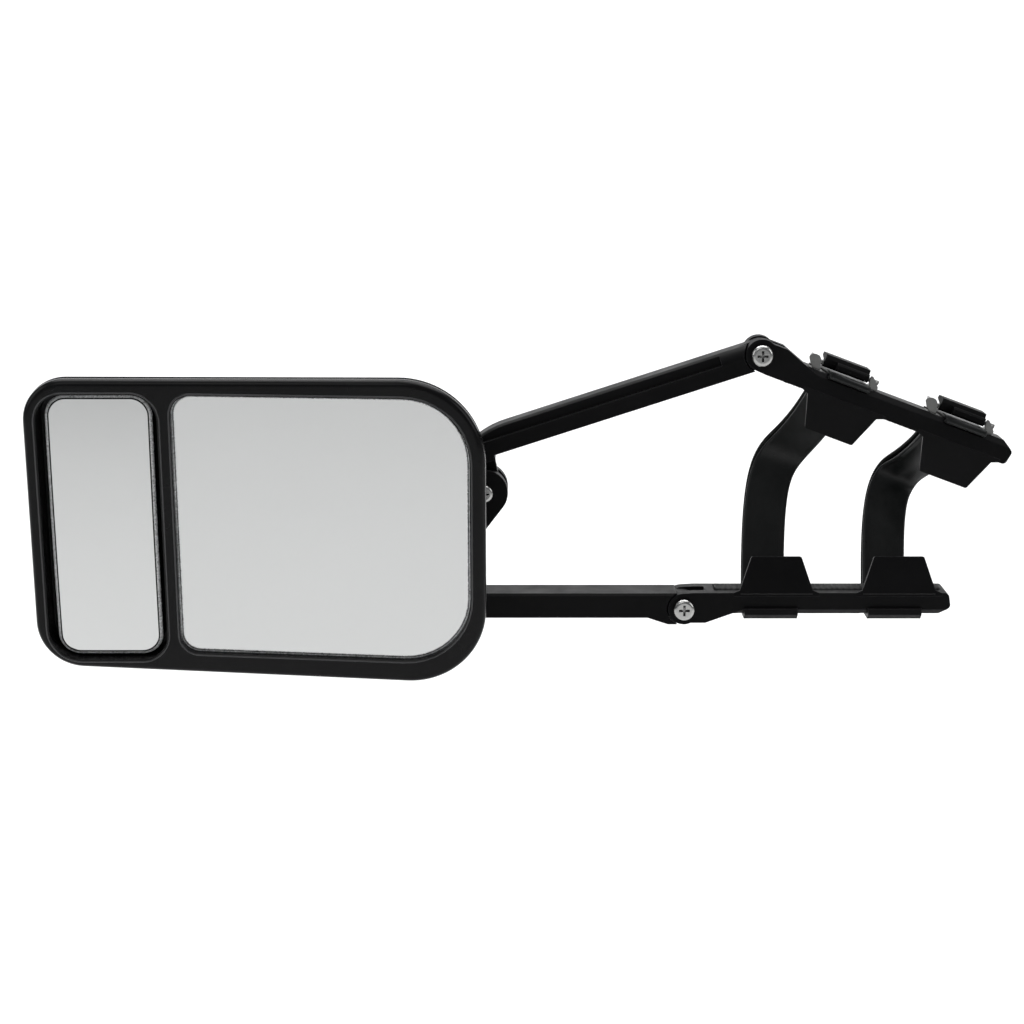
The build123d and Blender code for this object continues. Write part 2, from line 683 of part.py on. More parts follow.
# Lower arm, one moulding with the bracket behind the head
with BuildPart() as lower_arm:
    lower_side = Plane(origin=(LOWER_PIVOT[0], 0, LOWER_PIVOT[1]), x_dir=(1, 0, 0), z_dir=(0, -1, 0))
    with BuildSketch(lower_side):
        with BuildLine():
            Polyline(
                (-ARM_LENGTH, ARM_TOP),
                (-1, ARM_TOP),
                (-1, -EYE_RADIUS),
                (-ARM_BULGE[0], -EYE_RADIUS),
                (-ARM_BULGE[1], ARM_BOTTOM),
                (-ARM_LENGTH, ARM_BOTTOM),
                close=True,
            )
        make_face()
        Circle(KNUCKLE_CUT_RADIUS, mode=Mode.SUBTRACT)
    extrude(amount=HALF_DEPTH, both=True)
    long_edges = lower_arm.edges().filter_by(Axis.X)
    chamfer(long_edges.group_by(Axis.Z)[-1], ARM_CHAMFER)
    with BuildSketch(Plane.XZ) as posts:
        with Locations(MID_PIVOT, BRACKET_FOOT):
            Circle(LUG_RADIUS)
        make_hull()
    extrude(amount=HALF_DEPTH, both=True)
    with BuildSketch(Plane.XZ) as boss_post:
        with Locations((ball_centre.X, ball_centre.Z)):
            Circle(BOSS_RADIUS)
        with Locations(BOSS_FOOT):
            Circle(BOSS_FOOT_RADIUS)
        make_hull()
    extrude(amount=-HALF_DEPTH)
    extrude(boss_post.sketch, amount=-BRACKET_FRONT)
    with BuildSketch(Plane.XZ.offset(-BRACKET_FRONT)):
        with Locations((BRACKET_STEP_X - ARM_LENGTH / 2, 0)):
            Rectangle(ARM_LENGTH, 2 * ARM_LENGTH)
    extrude(amount=HALF_DEPTH, mode=Mode.SUBTRACT)
    with BuildSketch(Plane.XZ):
        with Locations(MID_PIVOT):
            Circle(LUG_SLOT_RADIUS)
    extrude(amount=FORK_GAP / 2, both=True, mode=Mode.SUBTRACT)
    with BuildSketch(lower_side):
        with BuildLine():
            Polyline(
                (-TONGUE_ROOT, ARM_BOTTOM),
                (-TONGUE_ROOT, ARM_TOP - TONGUE_DROP),
                (0, ARM_TOP - TONGUE_DROP),
                (0, -5),
                (-12, ARM_BOTTOM),
                close=True,
            )
        make_face()
        Circle(TONGUE_EYE_RADIUS)
    extrude(amount=TONGUE / 2, both=True)
    with BuildSketch(lower_side):
        Circle(SCREW_RADIUS + RUNNING_GAP)
    extrude(amount=2 * HALF_DEPTH, both=True, mode=Mode.SUBTRACT)
    with BuildSketch(Plane.XZ):
        with Locations(MID_PIVOT):
            Circle(MID_SCREW_RADIUS + RUNNING_GAP)
        with Locations((ball_centre.X, ball_centre.Z)):
            Circle(NECK_RADIUS + RUNNING_GAP)
    extrude(amount=2 * HALF_DEPTH, both=True, mode=Mode.SUBTRACT)
save(lower_arm.part, "lower_arm")

# Upper arm, with its neck and tongues
mid_local = upper_arm_side.to_local_coords(Vector(MID_PIVOT[0], 0, MID_PIVOT[1]))
with BuildPart() as upper_arm:
    with BuildSketch(upper_arm_side):
        with BuildLine():
            bow = TangentArc(
                (mid_local.X + ARM_BOW_START, UPPER_ARM_TOP),
                (mid_local.X - ARM_BOW_END[0], UPPER_ARM_TOP - ARM_BOW_END[1]),
                tangent=(-1, 0),
            )
            Polyline(
                bow @ 1,
                (mid_local.X - ARM_END_LEFT, mid_local.Y + ARM_END_HEIGHT),
                (mid_local.X + ARM_END_RIGHT, mid_local.Y + ARM_END_HEIGHT),
                (mid_local.X + ARM_END_RIGHT, UPPER_ARM_BOTTOM),
                (-1, UPPER_ARM_BOTTOM),
                (-1, UPPER_ARM_TOP),
                bow @ 0,
            )
        make_face()
        Circle(KNUCKLE_CUT_RADIUS, mode=Mode.SUBTRACT)
    extrude(amount=HALF_DEPTH, both=True)
    arm_up = Axis((0, 0, 0), (-arm_along.Z, 0, arm_along.X))
    along_edges = upper_arm.edges().filter_by(Axis((0, 0, 0), arm_along))
    fillet(along_edges.group_by(arm_up)[-1], ARM_TOP_ROUND)
    for face_side in (-1, 1):
        with BuildSketch(upper_arm_side.offset(face_side * HALF_DEPTH)):
            with Locations(((LEDGE_END - ARM_REACH) / 2, LEDGE + UPPER_ARM_TOP)):
                Rectangle(ARM_REACH + LEDGE_END, 2 * UPPER_ARM_TOP)
        extrude(amount=-face_side * LEDGE_DEPTH, mode=Mode.SUBTRACT)
    with BuildSketch(upper_arm_side):
        with BuildLine():
            Polyline(
                (mid_local.X + 9.2, UPPER_ARM_BOTTOM + 2),
                (mid_local.X + 8.0, mid_local.Y + 4.5),
                (mid_local.X, mid_local.Y),
                (mid_local.X - NECK_EYE_RADIUS, mid_local.Y),
                (mid_local.X - NECK_LEFT, UPPER_ARM_BOTTOM + 1),
                close=True,
            )
        make_face()
        with Locations((mid_local.X, mid_local.Y)):
            Circle(NECK_EYE_RADIUS)
    extrude(amount=TONGUE / 2, both=True)
    with BuildSketch(upper_arm_side):
        with BuildLine():
            Polyline((-20, -5), (-20, 5.5), (0, TONGUE_EYE_RADIUS), (0, -TONGUE_EYE_RADIUS), close=True)
        make_face()
        Circle(TONGUE_EYE_RADIUS)
    extrude(amount=TONGUE / 2, both=True)
    with BuildSketch(upper_arm_side):
        Circle(SCREW_RADIUS + RUNNING_GAP)
        with Locations((mid_local.X, mid_local.Y)):
            Circle(MID_SCREW_RADIUS + RUNNING_GAP)
    extrude(amount=2 * HALF_DEPTH, both=True, mode=Mode.SUBTRACT)
save(upper_arm.part, "upper_arm")

# Ball stud, with its collar against the bracket and its thread through the boss
collar_height = BRACKET_FRONT - ball_centre.Y - COLLAR
with BuildPart() as ball_stud:
    with Locations(ball_centre):
        Sphere(BALL_RADIUS)
    with BuildSketch(ball_plane):
        Circle(NECK_RADIUS)
    extrude(amount=HALF_DEPTH + WASHER + STUD_END - ball_centre.Y)
    with BuildSketch(ball_plane.offset(collar_height)):
        Circle(COLLAR_RADIUS)
    extrude(amount=COLLAR)
save(ball_stud.part, "ball_stud")
stud_place = (ball_centre.X, ball_centre.Z)
save(at_pivot(washer(NECK_RADIUS, STUD_WASHER_RADIUS), stud_place), "ball_stud_washer")
save(at_pivot(lock_nut(NECK_RADIUS, STUD_NUT), stud_place), "ball_stud_nut")


def mouth(height, spread):
    """The cone that opens a socket towards the bracket."""
    with BuildPart() as cone:
        with BuildSketch(ball_plane):
            Circle(0.01)
        with BuildSketch(ball_plane.offset(height)):
            Circle(height * spread)
        loft()
    return cone.part


mouth_spread = sin(radians(MOUTH_ANGLE)) / cos(radians(MOUTH_ANGLE))
mouth_cone = mouth(MOUTH_LENGTH, mouth_spread)
with BuildPart() as ball_liner:
    with Locations(ball_centre):
        Sphere(LINER_RADIUS)
        Sphere(BALL_RADIUS + BALL_FIT, mode=Mode.SUBTRACT)
    add(mouth_cone, mode=Mode.SUBTRACT)
save(ball_liner.part, "ball_liner")

# Rear shell, with the front half of the ball socket
def shell_body(inset, depth):
    """The rear shell's outer form, or with an inset the form of its inside."""
    with BuildPart() as form:
        loft([head_outline(BEZEL_DEPTH, inset), shell_edge_outline(inset)])
        loft([shell_edge_outline(inset), head_outline(depth, SHELL_TAPER)])
    return form.part


with BuildPart() as mirror_housing:
    add(shell_body(0.0, SHELL_DEPTH))
    fillet(mirror_housing.faces().sort_by(Axis.Y)[-1].edges(), SHELL_ROUND)
    add(shell_body(WALL, SHELL_DEPTH - WALL), mode=Mode.SUBTRACT)
    with BuildSketch(ball_plane):
        Circle(SOCKET_OUTER)
    extrude(amount=-SOCKET_FRONT)
    with Locations(ball_centre):
        Sphere(SOCKET_RADIUS, mode=Mode.SUBTRACT)
    with BuildSketch(ball_plane):
        with PolarLocations(CAP_SCREW_CIRCLE, 4, start_angle=CAP_SCREW_START):
            Circle(CAP_SCREW_RADIUS)
    extrude(amount=-CAP_SCREW_LENGTH, mode=Mode.SUBTRACT)
save(mirror_housing.part, "mirror_housing")

with BuildPart() as socket_cap:
    with BuildSketch(ball_plane):
        Circle(SOCKET_OUTER)
    extrude(amount=CAP_HEIGHT)
    with Locations(ball_centre):
        Sphere(SOCKET_RADIUS, mode=Mode.SUBTRACT)
    add(mouth_cone, mode=Mode.SUBTRACT)
    with BuildSketch(ball_plane):
        with PolarLocations(CAP_SCREW_CIRCLE, 4, start_angle=CAP_SCREW_START):
            Circle(CAP_SCREW_RADIUS)
    extrude(amount=CAP_HEIGHT, mode=Mode.SUBTRACT)
    with BuildSketch(ball_plane.offset(CAP_HEIGHT - CAP_SCREW_HEAD)):
        with PolarLocations(CAP_SCREW_CIRCLE, 4, start_angle=CAP_SCREW_START):
            Circle(CAP_HEAD_RADIUS + CAP_HEAD_GAP)
    extrude(amount=CAP_SCREW_HEAD, mode=Mode.SUBTRACT)
save(socket_cap.part, "socket_cap")

with BuildPart() as cap_screws:
    with BuildSketch(ball_plane.offset(CAP_HEIGHT - CAP_SCREW_HEAD)):
        with PolarLocations(CAP_SCREW_CIRCLE, 4, start_angle=CAP_SCREW_START):
            Circle(CAP_HEAD_RADIUS)
    extrude(amount=CAP_SCREW_HEAD - CAP_HEAD_SINK)
    with BuildSketch(ball_plane.offset(CAP_HEIGHT - CAP_SCREW_HEAD)):
        with PolarLocations(CAP_SCREW_CIRCLE, 4, start_angle=CAP_SCREW_START):
            Circle(CAP_SCREW_RADIUS - RUNNING_GAP)
    extrude(amount=-(CAP_SCREW_LENGTH + CAP_HEIGHT - CAP_SCREW_HEAD - 1.0))
save(cap_screws.part, "cap_screws")

# Bezel frame, with the blind-spot mirror's pocket and the tabs that snap into the shell
with BuildPart() as bezel_frame:
    extrude(head_outline(0.0), amount=-BEZEL_DEPTH)
    front_rim = bezel_frame.faces().sort_by(Axis.Y)[0].outer_wire().edges()
    fillet(front_rim, BEZEL_ROUND)
    extrude(main_outline(0.0, -GLASS_REVEAL), amount=-GLASS_FACE, mode=Mode.SUBTRACT)
    extrude(main_outline(GLASS_FACE, -LIP), amount=-BEZEL_DEPTH, mode=Mode.SUBTRACT)
    extrude(pocket_outline(BEZEL_DEPTH, -TUB_WALL), amount=-(TUB_FLOOR + TUB_WALL - BEZEL_DEPTH))
    well_outside = spot_outline(TUB_FLOOR, WELL_SIZE, SPOT_CENTRE, 2 * TUB_WALL)
    extrude(well_outside, amount=-(WELL_FLOOR + TUB_WALL - TUB_FLOOR))
    extrude(pocket_outline(0.0), amount=-TUB_FLOOR, mode=Mode.SUBTRACT)
    inner_size = (WELL_SIZE[0] - 2 * TUB_WALL, WELL_SIZE[1] - 2 * TUB_WALL)
    well_inside = spot_outline(TUB_FLOOR, inner_size, SPOT_CENTRE, TUB_WALL)
    extrude(well_inside, amount=-(WELL_FLOOR - TUB_FLOOR), mode=Mode.SUBTRACT)
    pin_block = spot_outline(SPOT_BACK + BLOCK_GAP, (2 * KNUCKLE, BLOCK_LENGTH), SPOT_CENTRE, BLOCK_GAP)
    extrude(pin_block, amount=-(WELL_FLOOR - SPOT_BACK))
    with BuildSketch(spot_pin_plane):
        Circle(SPOT_PIN_RADIUS + RUNNING_GAP)
    extrude(amount=WELL_SIZE[1], both=True, mode=Mode.SUBTRACT)
    for across, up, wide, high in TABS:
        tab = spot_outline(BEZEL_DEPTH, (wide, high), (across, up), TAB_RADIUS)
        extrude(tab, amount=-TAB_LENGTH)
save(bezel_frame.part, "bezel_frame")

with BuildPart() as main_glass:
    extrude(main_outline(GLASS_FACE, GLASS_EDGE_GAP - LIP), amount=-GLASS)
    chamfer(main_glass.faces().sort_by(Axis.Y)[0].edges(), GLASS_CHAMFER)
save(main_glass.part, "main_glass")

with BuildPart() as glass_carrier:
    extrude(main_outline(GLASS_FACE + GLASS, CARRIER_EDGE_GAP - LIP), amount=-CARRIER)
    with BuildSketch(head_plane.offset(-(GLASS_FACE + GLASS + CARRIER))):
        with GridLocations(*CARRIER_RIB_PITCH, 3, 3):
            with Locations(CARRIER_MIDDLE):
                Rectangle(*CARRIER_RIB_SIZE)
    extrude(amount=-CARRIER_RIB)
save(glass_carrier.part, "glass_carrier")


def spot_plate(outer_radius, inner_radius, back, inset):
    """A plate of the blind-spot mirror with a domed front, and a domed or flat back."""
    size = (SPOT_SIZE[0] - 2 * inset, SPOT_SIZE[1] - 2 * inset)
    dome = head_plane.from_local_coords(Vector(SPOT_CENTRE[0], SPOT_CENTRE[1], -SPOT_APEX - SPOT_DOME))
    with BuildPart() as plate:
        extrude(spot_outline(0.0, size, SPOT_CENTRE, SPOT_RADIUS - inset), amount=-back)
        with Locations(dome):
            Sphere(outer_radius, mode=Mode.INTERSECT)
            if inner_radius:
                Sphere(inner_radius, mode=Mode.SUBTRACT)
    return plate


spot_glass = spot_plate(SPOT_DOME, SPOT_DOME - SPOT_GLASS, SPOT_BACK, 0.0)
save(spot_glass.part, "spot_glass")

with BuildPart() as spot_carrier:
    add(spot_plate(SPOT_DOME - SPOT_GLASS - GLUE, None, SPOT_BACK, SPOT_CARRIER_INSET).part)
    for side in (-1, 1):
        with BuildSketch(spot_pin_plane.offset(side * KNUCKLE_START)):
            Circle(KNUCKLE)
            with Locations((0, 0)):
                Rectangle(2 * KNUCKLE, SPOT_PIN_DEPTH - SPOT_BACK + 0.5, align=(Align.CENTER, Align.MIN))
            Circle(SPOT_PIN_RADIUS + RUNNING_GAP, mode=Mode.SUBTRACT)
        extrude(amount=side * KNUCKLE_LENGTH)
save(spot_carrier.part, "spot_carrier")

with BuildPart() as spot_pin:
    with BuildSketch(spot_pin_plane):
        Circle(SPOT_PIN_RADIUS)
    extrude(amount=SPOT_PIN_HALF, both=True)
save(spot_pin.part, "spot_pin")
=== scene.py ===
import json
import math
import bpy
import bmesh
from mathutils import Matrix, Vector, noise


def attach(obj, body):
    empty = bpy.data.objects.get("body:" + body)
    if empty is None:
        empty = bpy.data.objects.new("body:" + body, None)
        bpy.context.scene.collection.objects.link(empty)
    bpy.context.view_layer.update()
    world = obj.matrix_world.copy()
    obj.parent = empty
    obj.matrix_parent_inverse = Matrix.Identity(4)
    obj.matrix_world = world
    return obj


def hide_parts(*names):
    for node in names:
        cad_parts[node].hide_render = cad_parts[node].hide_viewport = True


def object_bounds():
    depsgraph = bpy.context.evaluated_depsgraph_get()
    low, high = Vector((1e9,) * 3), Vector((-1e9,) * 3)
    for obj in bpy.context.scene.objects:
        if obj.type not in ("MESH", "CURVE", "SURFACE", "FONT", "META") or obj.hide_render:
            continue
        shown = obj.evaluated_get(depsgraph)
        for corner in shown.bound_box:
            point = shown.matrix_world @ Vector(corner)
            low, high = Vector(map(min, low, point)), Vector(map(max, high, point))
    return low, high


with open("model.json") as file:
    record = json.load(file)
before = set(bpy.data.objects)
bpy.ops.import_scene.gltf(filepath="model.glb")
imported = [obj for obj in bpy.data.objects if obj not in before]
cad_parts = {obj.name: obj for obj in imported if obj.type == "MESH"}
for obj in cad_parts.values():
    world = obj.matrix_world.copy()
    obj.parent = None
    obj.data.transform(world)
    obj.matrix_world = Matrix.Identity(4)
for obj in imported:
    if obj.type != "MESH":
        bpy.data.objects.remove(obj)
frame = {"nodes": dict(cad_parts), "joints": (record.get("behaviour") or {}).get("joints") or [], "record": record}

cad_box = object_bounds()
scene = bpy.context.scene
scene.view_settings.view_transform = "Standard"
MM = 0.001

# ---------------------------------------------------------------- camera and light, in metres
CAMERA_TILT = math.radians(78)
CENTRE = (-0.13, 0.0, 0.04)
camera = bpy.data.objects.new("camera", bpy.data.cameras.new("camera"))
scene.collection.objects.link(camera)
camera.location = (-0.1436, -0.9525, 0.2364)
camera.rotation_euler = (CAMERA_TILT, 0, 0)
camera.data.lens = 77.34
camera.data.sensor_width = 36
camera.data.clip_start = 0.01
scene.camera = camera


def area_light(name, place, size, power, target=CENTRE):
    """A soft box at a place, turned to a target."""
    data = bpy.data.lights.new(name, "AREA")
    data.shape = "RECTANGLE"
    data.size, data.size_y = size
    data.energy = power
    lamp = bpy.data.objects.new(name, data)
    scene.collection.objects.link(lamp)
    lamp.location = place
    lamp.rotation_euler = (Vector(target) - Vector(place)).to_track_quat("-Z", "Y").to_euler()


area_light("top_soft_box", place=(-0.10, 0.10, 1.50), size=(1.8, 1.2), power=20)
area_light("front_soft_box", place=(-0.55, -1.20, 1.10), size=(0.9, 0.7), power=3)
area_light("right_soft_box", place=(1.25, -0.45, 0.70), size=(0.6, 0.9), power=4.5)
area_light("left_soft_box", place=(-1.45, -0.35, 0.60), size=(0.6, 0.9), power=3.5)
area_light("backdrop_soft_box", place=(-0.10, 1.30, 2.60), size=(3.6, 0.8), power=75,
           target=(-0.10, 2.60, 0.70))
world = bpy.data.worlds.new("studio")
scene.world = world
world.use_nodes = True
world.node_tree.nodes["Background"].inputs["Color"].default_value = (0.96, 0.98, 1.0, 1)
world.node_tree.nodes["Background"].inputs["Strength"].default_value = 0.27

# ---------------------------------------------------------------- materials
# Input and output numbers of Blender's Mix node in its colour mode
MIX_FACTOR, MIX_A, MIX_B, MIX_RESULT = 0, 6, 7, 2
CORNER_SAMPLES = 6


class Nodes:
    """A short way to build a node material."""

    def __init__(self, name):
        self.mat = bpy.data.materials.new(name)
        self.mat.use_nodes = True
        self.tree = self.mat.node_tree
        self.shader = self.tree.nodes["Principled BSDF"]
        self.coords = self.tree.nodes.new("ShaderNodeTexCoord").outputs["Object"]

    def set(self, **inputs):
        """Set inputs of the shader by name, with _ for a space."""
        for key, value in inputs.items():
            self.put(self.shader.inputs[key.replace("_", " ")], value)

    def put(self, socket, value):
        """Link a socket to another socket, or give it a plain value."""
        if isinstance(value, bpy.types.NodeSocket):
            self.tree.links.new(value, socket)
        else:
            socket.default_value = value

    def add(self, kind, **inputs):
        """A new node. Lower-case names are its properties, and the others are its inputs."""
        node = self.tree.nodes.new("ShaderNode" + kind)
        for key, value in inputs.items():
            if key[0].islower():
                setattr(node, key, value)
            else:
                self.put(node.inputs[key.replace("_", " ")], value)
        return node

    def noise(self, scale, detail=4.0, rough=0.55, stretch=None):
        """Noise in the object's own space, with this many cells to a metre."""
        where = self.coords
        if stretch:
            where = self.add("Mapping", Vector=where, Scale=stretch).outputs[0]
        node = self.add("TexNoise", Vector=where, Scale=scale, Detail=detail, Roughness=rough)
        return node.outputs["Fac"]

    def spread(self, value, low, high, start=0.3, end=0.7):
        """Stretch a value's range from start to end over low to high."""
        node = self.add("MapRange", From_Min=start, From_Max=end, To_Min=low, To_Max=high)
        self.put(node.inputs["Value"], value)
        return node.outputs[0]

    def math(self, operation, a, b=0.0):
        """One step of arithmetic."""
        node = self.add("Math", operation=operation)
        self.put(node.inputs[0], a)
        self.put(node.inputs[1], b)
        return node.outputs[0]

    def mix(self, fac, a, b):
        """A colour between a and b."""
        node = self.add("Mix", data_type="RGBA")
        for index, value in ((MIX_FACTOR, fac), (MIX_A, a), (MIX_B, b)):
            self.put(node.inputs[index], value)
        return node.outputs[MIX_RESULT]

    def edges(self, radius, low, high):
        """How strongly a point lies on an edge, from 0 to 1."""
        dot = self.add("VectorMath", operation="DOT_PRODUCT")
        self.put(dot.inputs[0], self.rounded(radius))
        self.put(dot.inputs[1], self.add("NewGeometry").outputs["Normal"])
        return self.spread(dot.outputs["Value"], 1.0, 0.0, start=1 - high, end=1 - low)

    def bump(self, *layers, normal=None):
        """Add bump layers, each (height, strength, distance), over a normal."""
        for height, strength, distance in layers:
            node = self.add("Bump", Height=height, Strength=strength, Distance=distance)
            if normal is not None:
                self.put(node.inputs["Normal"], normal)
            normal = node.outputs[0]
        self.put(self.shader.inputs["Normal"], normal)

    def rounded(self, radius):
        """A normal that rounds every edge over by a radius."""
        return self.add("Bevel", samples=CORNER_SAMPLES, Radius=radius).outputs[0]


def layer(height, strength, distance):
    """One layer for Nodes.bump, with its distance in millimetres."""
    return height, strength, distance * MM


def shade(colour, factor):
    """A colour made darker or lighter."""
    return tuple(min(1.0, c * factor) for c in colour[:3]) + (1,)


def grey(level):
    """An opaque grey."""
    return level, level, level, 1


def plastic(name, colour, rough, specular, grain=1400.0, depth=0.02, wear=0.4, soften=0.6, worn=0.075):
    """Moulded plastic: fine spark-eroded grain, soft flow marks and edges rubbed a little paler.

    depth is the grain's and soften the edges' rounding, both in millimetres, and worn is how pale
    a rubbed edge is.
    """
    n = Nodes(name)
    flow = n.spread(n.noise(scale=22, detail=3), low=0.0, high=1.0)
    base = n.mix(flow, shade(colour, 0.7), shade(colour, 1.15))
    patch = n.spread(n.noise(scale=160, detail=5, rough=0.7), low=0.1, high=wear)
    rubbed = n.math("MULTIPLY", n.edges(radius=0.9 * MM, low=0.02, high=0.35), patch)
    n.set(Base_Color=n.mix(rubbed, base, (worn, worn, worn * 1.04, 1)))
    smears = n.noise(scale=60, detail=5, rough=0.6)
    n.set(Roughness=n.spread(smears, low=rough * 0.82, high=rough * 1.22))
    n.set(Specular_IOR_Level=specular)
    n.bump(layer(n.noise(scale=grain, detail=2, rough=0.7), strength=0.35, distance=depth),
           layer(n.noise(scale=35, detail=2), strength=0.25, distance=0.1),
           normal=n.rounded(soften * MM))
    return n.mat


def rubber(name):
    """Dull black rubber with a fine bloom."""
    n = Nodes(name)
    bloom = n.noise(scale=300, detail=5, rough=0.7)
    n.set(Base_Color=n.mix(bloom, grey(0.006), grey(0.02)))
    n.set(Roughness=n.spread(n.noise(scale=120), low=0.62, high=0.86), Specular_IOR_Level=0.25)
    n.bump(layer(n.noise(scale=2200, detail=2), strength=0.5, distance=0.03),
           layer(n.noise(scale=90, detail=3), strength=0.3, distance=0.1))
    return n.mat


def metal(name, colour, rough, stretch=(1, 1, 1), wear=0.5):
    """Plated or bare steel: fine drawing marks, dull patches, painted shade in its recesses and bright rubbed
    edges.
    """
    n = Nodes(name)
    marks = n.noise(scale=900, rough=0.7, stretch=stretch)
    patch = n.noise(scale=70, detail=5, rough=0.65)
    base = n.mix(n.spread(patch, low=0.0, high=0.5), colour, shade(colour, 0.7))
    rubbed = n.math("MULTIPLY", n.edges(radius=0.5 * MM, low=0.02, high=0.35),
                    n.spread(patch, low=0.2, high=wear))
    worn = n.mix(rubbed, base, shade(colour, 1.5))
    # Painted shade: ambient occlusion turns the colour near-black in recesses and crevices where shade falls, such
    # as a screw's cross.
    open_sky = n.add("AmbientOcclusion", samples=CORNER_SAMPLES, Distance=1.6 * MM).outputs["AO"]
    open_to_light = n.spread(open_sky, low=0.0, high=1.0, start=0.45, end=0.9)
    n.set(Base_Color=n.mix(open_to_light, grey(0.012), worn), Metallic=1.0)
    n.set(Roughness=n.spread(marks, low=rough * 0.75, high=rough * 1.35))
    n.bump(layer(marks, strength=0.25, distance=0.03),
           layer(n.noise(scale=140, detail=3), strength=0.2, distance=0.06),
           normal=n.rounded(0.3 * MM))
    return n.mat


def silvered(name, tint):
    """Silvered glass with faint dust, haze and a slight waviness."""
    n = Nodes(name)
    dust = n.spread(n.noise(scale=420, detail=6, rough=0.75), low=0.0, high=0.25, start=0.5, end=0.85)
    n.set(Base_Color=n.mix(dust, tint, shade(tint, 0.93)), Metallic=1.0)
    n.set(Roughness=n.spread(n.noise(scale=40, detail=5), low=0.01, high=0.035))
    n.bump(layer(n.noise(scale=9, detail=2), strength=0.03, distance=0.1))
    return n.mat


def ground_edge(name):
    """The ground edge of a glass plate: pale and chipped, with bright and dark glints painted into its colour."""
    n = Nodes(name)
    chips = n.noise(scale=1100, detail=5, rough=0.8)
    # Painted glints: patches of the colour go bright and dark, as reflections of lamps and of the dark moat; the
    # pale ground glass itself is the plate's own.
    painted_glints = n.spread(chips, low=0.0, high=1.0, start=0.36, end=0.50)
    n.set(Base_Color=n.mix(painted_glints, grey(0.30), (0.95, 0.96, 0.96, 1)))
    n.set(Metallic=0.25, Roughness=n.spread(n.noise(scale=500), low=0.08, high=0.38))
    n.bump(layer(chips, strength=0.8, distance=0.25),
           layer(n.noise(scale=260, detail=3), strength=0.6, distance=0.4))
    return n.mat


def dark_line(name):
    """A near-black for a line between two parts: painted shade in the crease at a flap's foot, and the dark band
    inside a glass plate's ground edge.
    """
    n = Nodes(name)
    n.set(Base_Color=n.mix(n.noise(scale=700), grey(0.004), grey(0.03)))
    n.set(Roughness=n.spread(n.noise(scale=200, detail=3), low=0.4, high=0.7), Specular_IOR_Level=0.2)
    return n.mat


WEFT_PITCH = 0.85
WARP_PITCH = 0.62


def webbing(name):
    """Tightly woven, calendered strap: fine ribs along and across it, and a soft sheen."""
    n = Nodes(name)
    cloth = n.add("SeparateXYZ", Vector=n.add("UVMap", uv_map="cloth").outputs[0])
    across_angle = n.math("MULTIPLY", cloth.outputs["X"], 2 * math.pi / (WEFT_PITCH * MM))
    along_angle = n.math("MULTIPLY", cloth.outputs["Y"], 2 * math.pi / (WARP_PITCH * MM))
    across = n.math("SINE", across_angle)
    weave = n.math("MULTIPLY", across, n.math("SINE", along_angle))
    fuzz = n.noise(scale=1500, rough=0.75)
    scuff = n.noise(scale=85, detail=5, rough=0.7)
    thread = n.spread(weave, low=0.0, high=1.0, start=-1.0, end=1.0)
    base = n.mix(thread, (0.0018, 0.0022, 0.0022, 1), (0.004, 0.0046, 0.0045, 1))
    scuffed = n.spread(scuff, low=0.0, high=0.35, start=0.45, end=0.8)
    n.set(Base_Color=n.mix(scuffed, base, (0.011, 0.012, 0.012, 1)))
    n.set(Roughness=n.spread(scuff, low=0.27, high=0.42), Specular_IOR_Level=0.22)
    n.set(Sheen_Weight=0.02, Sheen_Roughness=0.5)
    n.bump(layer(weave, strength=0.22, distance=0.05),
           layer(across, strength=0.18, distance=0.04),
           layer(fuzz, strength=0.25, distance=0.02))
    return n.mat


BLACK = (0.0040, 0.0040, 0.0043, 1)
BEZEL_BLACK = (0.0034, 0.0034, 0.0037, 1)
MIRROR_TINT = (0.56, 0.565, 0.56, 1)
finishes = {
    "arm_plastic": plastic("arm_plastic", BLACK, rough=0.42, specular=0.06),
    "bezel_plastic": plastic("bezel_plastic", BEZEL_BLACK, rough=0.20, specular=0.13, grain=2200,
                             depth=0.006, wear=0.15, soften=1.1),
    "shell_plastic": plastic("shell_plastic", BLACK, rough=0.45, specular=0.13, grain=900, depth=0.05),
    "lever_plastic": plastic("lever_plastic", shade(BLACK, 0.8), rough=0.5, specular=0.06, worn=0.03),
    "inner_plastic": plastic("inner_plastic", BLACK, rough=0.5, specular=0.08),
    "pad_rubber": rubber("pad_rubber"),
    "mirror_glass": silvered("mirror_glass", MIRROR_TINT),
    "spot_mirror_glass": silvered("spot_mirror_glass", MIRROR_TINT),
    "frame_steel": metal("frame_steel", (0.20, 0.20, 0.195, 1), rough=0.38, stretch=(1, 1, 6)),
    "rivet_steel": metal("rivet_steel", (0.26, 0.26, 0.255, 1), rough=0.32),
    "screw_steel": metal("screw_steel", (0.42, 0.42, 0.41, 1), rough=0.20, wear=0.3),
    "strap_web": webbing("strap_web"),
}
rim_glass = ground_edge("ground_glass_edge")
# Painted highlight: the beads are the bezel's own plastic, given a black four times paler so that their fine
# ridges read as lit lines.
bead_highlight_plastic = plastic("bezel_bead_highlight", shade(BLACK, 4.0), rough=0.22, specular=0.5, grain=2200,
                       depth=0.006, soften=0.1)
line_black = dark_line("edge_line")

for row in frame["record"]["subparts"]:
    node = frame["nodes"][row["node"]]
    for material_slot in node.material_slots:
        material_slot.material = finishes[row["material_slot"]]

